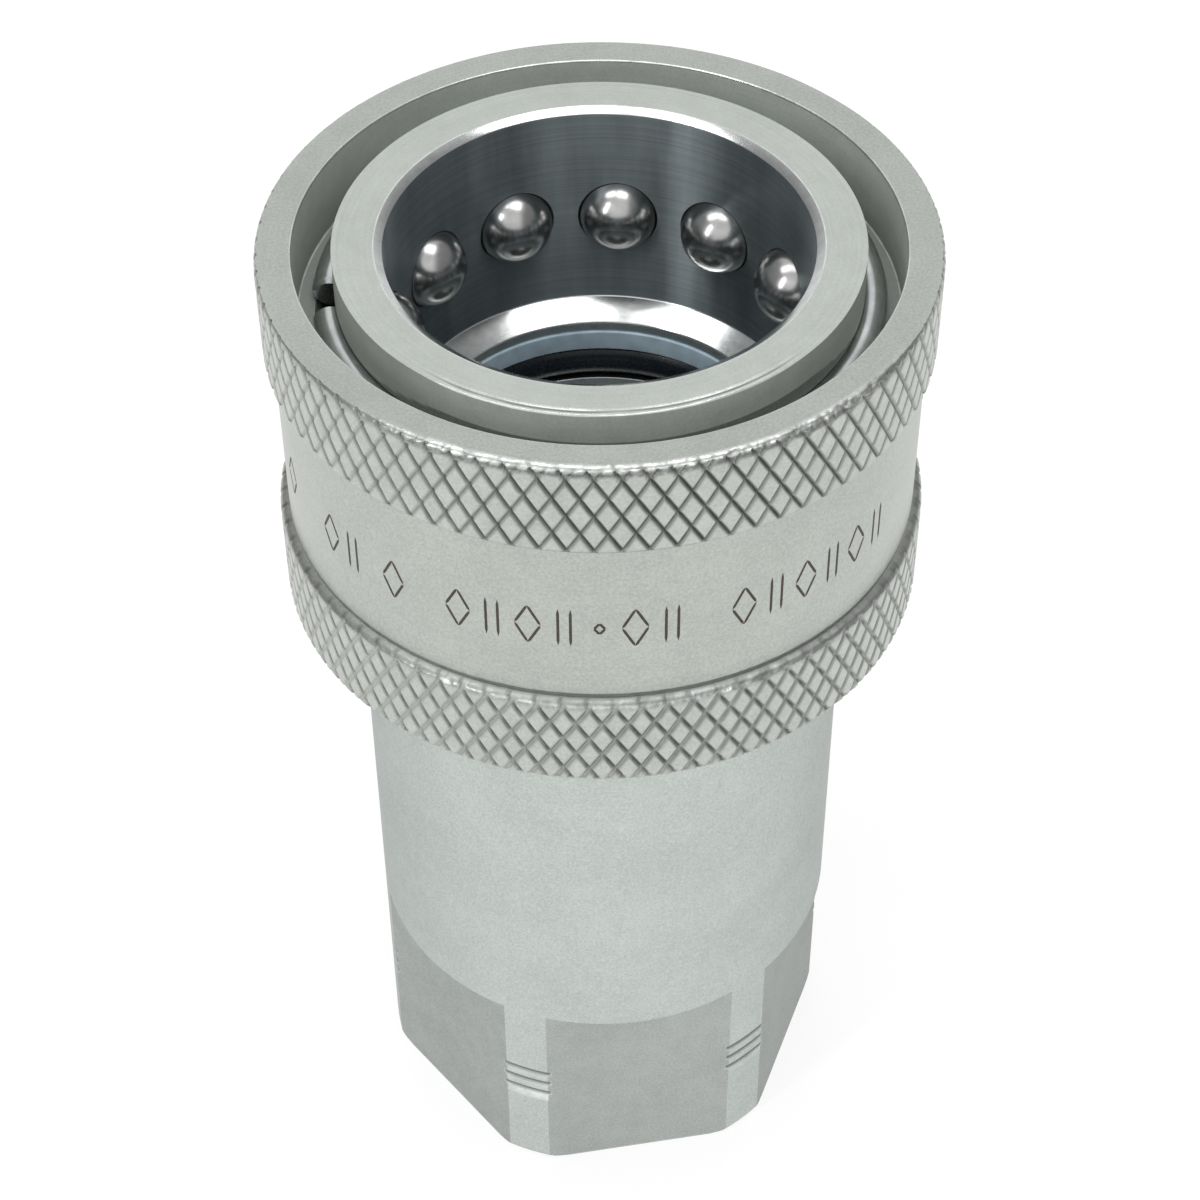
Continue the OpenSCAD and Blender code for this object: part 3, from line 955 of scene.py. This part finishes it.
def port_rim():
    """The end face between the hexagon's inner ring and the countersink."""
    mouth = [(port_mouth_r + 0.08, 0.0), (port_mouth_r, 0.06), (port_mouth_r - 0.1, 0.16)]
    return turned([(end_face_r, 0.0), *mouth], 252)


def port_thread():
    """Taper pipe thread: a helical V in the drilled bore, under a countersink."""
    turn_rows = 16
    columns = 180
    start_z, end_z = 0.16, port_depth
    turns = math.ceil((end_z - start_z) / thread_pitch) + 1
    rows = turns * turn_rows + 1
    points = []
    for j in range(rows):
        for i in range(columns + 1):
            share = i / columns
            z = start_z + (j / turn_rows + share - 1) * thread_pitch
            along = (z - start_z) / thread_pitch - share
            z = min(max(z, start_z), end_z)
            v = 1 - abs(2 * (along - math.floor(along)) - 1)
            v = min(max((v - 0.10) / 0.80, 0.0), 1.0)
            run_out = smoothstep((end_z - 0.8 - z) / 2.5)
            cut = port_r + 0.03 + (thread_depth * v - thread_taper * z) * run_out
            countersink = port_mouth_r - (z - 0.06)
            points.append(polar(max(port_r, cut, countersink), -2 * math.pi * share, z))
    return plain(points, grid_faces(rows, columns + 1, wrap_columns=False))


# ---- small pieces


def ball(at):
    """One locking ball."""
    angles = np.radians(np.linspace(-90, 90, 33))
    profile = [(ball_r * math.cos(a), at.z + ball_r * math.sin(a)) for a in angles]
    points, faces, wear_and_highlight, painted_shade = turned(profile, 48)
    return [(x + at.x, y + at.y, z) for x, y, z in points], faces, wear_and_highlight, painted_shade


def split_ring(centre_r, z, wire_r, gap, middle, columns=240):
    """A round-wire ring, open by gap degrees around the angle middle."""
    start, end = math.radians(middle + gap / 2), math.radians(middle - gap / 2 + 360)
    angles = np.linspace(start, end, columns)
    return tube([polar(centre_r, a, z) for a in angles], wire_r, 24)


def rubber_ring(centre_r, z, section_r):
    """A moulded ring with the thin flash lines that its slanted mould leaves."""
    steps = 56
    profile = []
    for s in range(steps):
        a = 2 * math.pi * s / steps
        flash = 0.05 if s in (20, 48) else 0.0
        profile.append((centre_r + (section_r + flash) * math.cos(a), z + section_r * math.sin(a)))
    return turned(profile, 240, closed=True)


def coil(centre_r, z, height, wire_r, turns):
    """A compression spring with closed, ground ends, from z up to z + height."""
    steps = 40
    closed_turns = 0.9
    step = 2.05 * wire_r
    rise = height - 2 * wire_r - 2 * closed_turns * step
    path = []
    for k in range(steps * turns + 1):
        u = k / steps
        if u < closed_turns:
            up = u * step
        elif u > turns - closed_turns:
            up = height - 2 * wire_r - (turns - u) * step
        else:
            up = closed_turns * step + (u - closed_turns) * rise / (turns - 2 * closed_turns)
        path.append(polar(centre_r, 2 * math.pi * u, z + wire_r + up))
    points, faces, _, _ = tube(path, wire_r, 14)
    # the ends are ground flat, then the coil is stretched back to its height
    ground = 0.25 * wire_r
    points = [(x, y, min(max(h, z + ground), z + height - ground)) for x, y, h in points]
    stretch = height / (height - 2 * ground)
    return plain([(x, y, z + (h - z - ground) * stretch) for x, y, h in points], faces)


def valve_guide():
    """The spoked guide: rim, hub and three arms with rounded edges."""
    z = low("valve_guide").z
    thickness, hub_height = 2.5, 8.0
    half_arm = 1.2

    def collar(inner_r, outer_r, tall, columns):
        corners = [(inner_r, z), (outer_r, z), (outer_r, z + tall), (inner_r, z + tall)]
        return turned(rounded(corners, 0.25, closed=True), columns, closed=True)

    corners = [(-half_arm, 0), (half_arm, 0), (half_arm, thickness), (-half_arm, thickness)]
    outline = rounded(corners, 0.3, closed=True)
    count = len(outline)
    arms = []
    for n in range(3):
        turn = math.radians(40 + 120 * n)
        cos_t, sin_t = math.cos(turn), math.sin(turn)
        points = [
            (x * cos_t - y * sin_t, x * sin_t + y * cos_t, z + h)
            for x in (3.9, 9.2)
            for y, h, _ in outline
        ]
        ends = [tuple(range(count - 1, -1, -1)), tuple(range(count, 2 * count))]
        arms.append(plain(points, grid_faces(2, count) + ends))
    return joined(collar(8.7, 10.95, thickness, 160), collar(2.55, 4.2, hub_height, 96), *arms)


def poppet():
    """The valve's disc, stem and conical nose, with a groove for its seal."""
    top, foot = high("poppet").z, low("poppet").z
    axis_r = 0.0005
    floor_z = top - 10.6
    shoulder_z = floor_z + 2.2
    # the seal's groove: its middle lies sunk below the cone's 45 degree face
    section_r, sunk = poppet_seal_wire_r + 0.02, 0.849
    half = math.acos(sunk / section_r)
    arc = [
        (poppet_seal_r + section_r * math.cos(a), poppet_seal_z + section_r * math.sin(a), 0)
        for a in np.linspace(math.pi / 4 - half, half - 7 * math.pi / 4, 14)
    ]
    profile = rounded([
        (axis_r, foot, 0), (2.5, foot, 0.3), (2.5, floor_z, 0.2), (9.0, floor_z, 0.3),
        (9.0, shoulder_z, 0.12), *arc, (3.2, shoulder_z + 5.8, 0.3), (3.2, top - 0.8, 0.2),
        (2.4, top, 0.3), (axis_r, top, 0),
    ])
    return turned(profile, 160)


# ---- build

steel = (0.42, 0.43, 0.43)
zinc("zinc_body", (0.555, 0.595, 0.57), 0.42, grain=3.2, marks=0.3)
# a darker copy of the body's zinc for the hexagon's flats: painted shade
zinc("hex_flats_painted_shade", (0.445, 0.47, 0.45), 0.46, grain=3.2, marks=0.0, mottle=1.4)
zinc("zinc_nose", (0.575, 0.61, 0.57), 0.34, grain=1.4)
zinc("zinc_sleeve", (0.485, 0.51, 0.475), 0.38, grain=2.8, marks=0.5, edge=1.0)
# a lighter, partly diffuse zinc for the recess between sleeve and nose: painted light on walls
# that little light reaches
zinc("recess_zinc_painted_light", (0.68, 0.715, 0.67), 0.45, grain=1.4, marks=0.7, metallic=0.45)
polished_bore("reamed_bore", (0.31, 0.355, 0.37), 0.46)
zinc("tip_bore", (0.60, 0.66, 0.67), 0.30, grain=0.6, metallic=0.8)
bright_steel("bright_cut", (0.72, 0.74, 0.74), 0.14, rings_height=0.6)
wire_steel("ring_wire", (0.60, 0.62, 0.62), 0.22)
zinc("washer_steel", steel, 0.42)
wire_steel("spring_wire", steel, 0.28)
bright_steel("ball_steel", (0.54, 0.54, 0.535), 0.21)
zinc("poppet_steel", (0.40, 0.41, 0.41), 0.36, marks=1.5)
seal_plastic("backup_plastic", (0.67, 0.84, 0.96))
rubber("seal_rubber")
etched("etched")

on_sleeve = "sleeve", "zinc_sleeve"
piece("sleeve_knurled", knurled_sleeve(), *on_sleeve, ["locking_sleeve"], sharp=40, weld=False)
sleeve_bore = piece("sleeve_bore", sleeve_inside(), *on_sleeve, ["locking_sleeve"])
mouth = lambda r, z, at: 15 < r < spring_room_r - 0.01 and nose_z - 8 < z < nose_z - 0.1
# the sleeve's mouth walls take the recess zinc's painted light
finish_faces(sleeve_bore, "recess_zinc_painted_light", mouth)
piece("sleeve_marks", band_marks(), *on_sleeve, material="etched", weld=False)

nose_piece = piece("nose_drilled", nose(), "body", "zinc_nose", ["front_body"])
for key, chosen in (
    ("reamed_bore", lambda r, z, at: r < plug_r + 0.01 and bore_floor_z < z < nose_z - 0.30),
    ("tip_bore", lambda r, z, at: r < tip_r + 0.2 and seat_top_z < z < cone_floor_z + 0.05),
    # the nose's wall above the snap ring takes the recess zinc's painted light
    ("recess_zinc_painted_light", lambda r, z, at: r > nose_r - 0.05 and snap_z < z < nose_z - 0.02),
    # the bevel at the mouth and the cone at the bore's end
    ("bright_cut", lambda r, z, at: (plug_r + 0.02 < r < plug_r + 0.48 and z > nose_z - 0.27)
     or (tip_r + 0.03 < r < plug_r - 0.02 and cone_floor_z < z < bore_floor_z)),
):
    finish_faces(nose_piece, key, chosen)

rear_piece = piece("rear_body_threaded", rear_body(), "body", "zinc_body", ["hex_body"], sharp=22)
# the flats take the darker zinc, painted shade
finish_faces(
    rear_piece,
    "hex_flats_painted_shade",
    lambda r, z, at: 0.1 < z < hex_height - 0.05
    and half_flats - 0.1 < r < body_r - 0.012
    and not on_ring(at),
)
snap_wire = split_ring(snap_r, snap_z, snap_wire_r, 8, 174.5)
piece("snap_ring_wire", snap_wire, "body", "ring_wire", ["snap_ring"])
for number in range(ball_count):
    node = f"ball_{number + 1:02d}"
    piece(f"{node}_polished", ball(centre(node)), node, "ball_steel", [node], sharp=180)

foot, top = low("tip_backup_ring").z, high("tip_backup_ring").z
corners = [(10.2, foot), (12.48, foot), (12.48, top), (10.2, top)]
backup = turned(rounded(corners, 0.12, closed=True), 240, closed=True)
piece("tip_backup_cut", backup, "body", "backup_plastic", ["tip_backup_ring"])
tip_seal_r = (high("tip_seal").z - low("tip_seal").z) / 2
tip_seal = rubber_ring(high("tip_seal").y - tip_seal_r, low("tip_seal").z + tip_seal_r, tip_seal_r)
piece("tip_seal_moulded", tip_seal, "body", "seal_rubber", ["tip_seal"], sharp=60)
piece("poppet_turned", poppet(), "valve", "poppet_steel", ["poppet"])
poppet_seal = rubber_ring(poppet_seal_r, poppet_seal_z, poppet_seal_wire_r)
piece("poppet_seal_moulded", poppet_seal, "valve", "seal_rubber", ["poppet_seal"], sharp=60)
piece("valve_guide_cast", valve_guide(), "body", "poppet_steel", ["valve_guide"])
guide_wire = split_ring(10.9, centre("guide_ring").z, 0.6, 24, 0, 160)
piece("guide_ring_wire", guide_wire, "body", "ring_wire", ["guide_ring"])

for node, body, joint, centre_r, wire_r, turns in (
    ("sleeve_spring", "spring_seat", "sleeve_slide", 15.88, 0.6, 4),
    ("valve_spring", "body", "valve_slide", 6.0, 0.65, 6),
):
    foot, length = low(node).z, high(node).z - low(node).z
    shape = coil(centre_r, foot, length, wire_r, turns)
    spring = piece(f"{node}_wire", shape, body, "spring_wire", [node], sharp=60)
    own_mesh(spring)

# CAD nodes that keep their own shape
kept = ("spring_washer", "washer_steel"), ("body_seal", "seal_rubber")
for node, slot in (*kept, ("body_backup_ring", "backup_plastic")):
    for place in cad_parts[node].material_slots:
        place.material = materials[slot]


# ---- studio


def soft_room():
    """Light from all round, dimmer from the two sides."""
    world = bpy.data.worlds.new("soft_room")
    bpy.context.scene.world = world
    n = Tree(world)
    where = n.add("TexCoord").outputs["Generated"]
    ramp = n.add("ValToRGB", {"Fac": n.add("SeparateXYZ", {0: where}).outputs["Z"]})
    # brightness from straight below to straight above
    stops = [(0.0, 0.78), (0.40, 0.90), (0.70, 1.00), (1.0, 0.62)]
    elements = ramp.color_ramp.elements
    for position, _ in stops[1:-1]:
        elements.new(position)
    for element, (_, value) in zip(elements, stops):
        element.color = (value, value, value, 1.0)
    sideways = n.math("ABSOLUTE", n.vector("DOT_PRODUCT", {0: where, 1: tuple(view_right)}))
    walls = n.span(sideways, 0.30, 0.62, 1.0, 0.30, interpolation_type="SMOOTHSTEP")
    light = n.vector("SCALE", {0: ramp.outputs["Color"], "Scale": walls})
    glow = n.add("Background", {"Color": light, "Strength": 1.0})
    n.add("OutputWorld", {"Surface": glow.outputs["Background"]})


def pale_floor():
    """A plain floor just under the part."""
    size, drop = 2.0, 0.00002
    corners = [(-size, -size, 0), (size, -size, 0), (size, size, 0), (-size, size, 0)]
    mesh = bpy.data.meshes.new("floor")
    mesh.from_pydata(corners, [], [(0, 1, 2, 3)])
    floor = placed("floor", mesh)
    floor.location.z = cad_box[0][2] - drop
    n = Surface("pale_floor")
    n.fill(n.shader, {
        "Base Color": (0.30, 0.30, 0.30, 1.0),
        "Roughness": 0.9,
        "Specular IOR Level": 0.0,
        "Emission Color": (1.0, 1.0, 1.0, 1.0),
        "Emission Strength": 0.79,
    })
    mesh.materials.append(materials["pale_floor"])


def softbox(name, sideways, towards, height_above, width, height, radiance):
    """A rectangular light that faces the object, placed in metres from the camera's side."""
    data = bpy.data.lights.new(name, "AREA")
    data.shape = "RECTANGLE"
    data.size = width
    data.size_y = height
    data.energy = radiance * math.pi * width * height
    lamp = placed(name, data)
    lamp.location = view_right * sideways + view_front * towards + Vector((0, 0, height_above))
    aim = Vector((0, 0, 0.05)) - lamp.location
    lamp.rotation_euler = aim.to_track_quat("-Z", "Y").to_euler()


def camera():
    """The photograph's viewpoint: a long lens about 45 degrees above the coupler."""
    distance = 0.17570
    elevation = math.radians(45.205)
    roll = math.radians(-0.358)
    aim = Vector((0, 0, 0.039725))
    away = view_front * math.cos(elevation) + Vector((0, 0, math.sin(elevation)))
    data = bpy.data.cameras.new("photo_view")
    data.sensor_width = 36
    data.lens = 84.93
    data.shift_x = -0.0014
    data.clip_start = 0.01
    data.clip_end = 20
    view = placed("photo_view", data)
    view.location = aim + away * distance
    turn = (-away).to_track_quat("-Z", "Y").to_matrix()
    view.rotation_euler = (turn @ Matrix.Rotation(roll, 3, "Z")).to_euler()
    bpy.context.scene.camera = view


soft_room()
pale_floor()
softbox("ceiling_right", 0.088, 0.01, 0.55, 0.215, 0.24, 3.0)
softbox("ceiling_left", -0.185, 0.00, 0.55, 0.14, 0.24, 3.0)
softbox("window_left", -0.36, 0.33, 0.42, 0.06, 0.30, 11.0)
camera()
settings = bpy.context.scene.view_settings
settings.view_transform, settings.look = "Standard", "None"
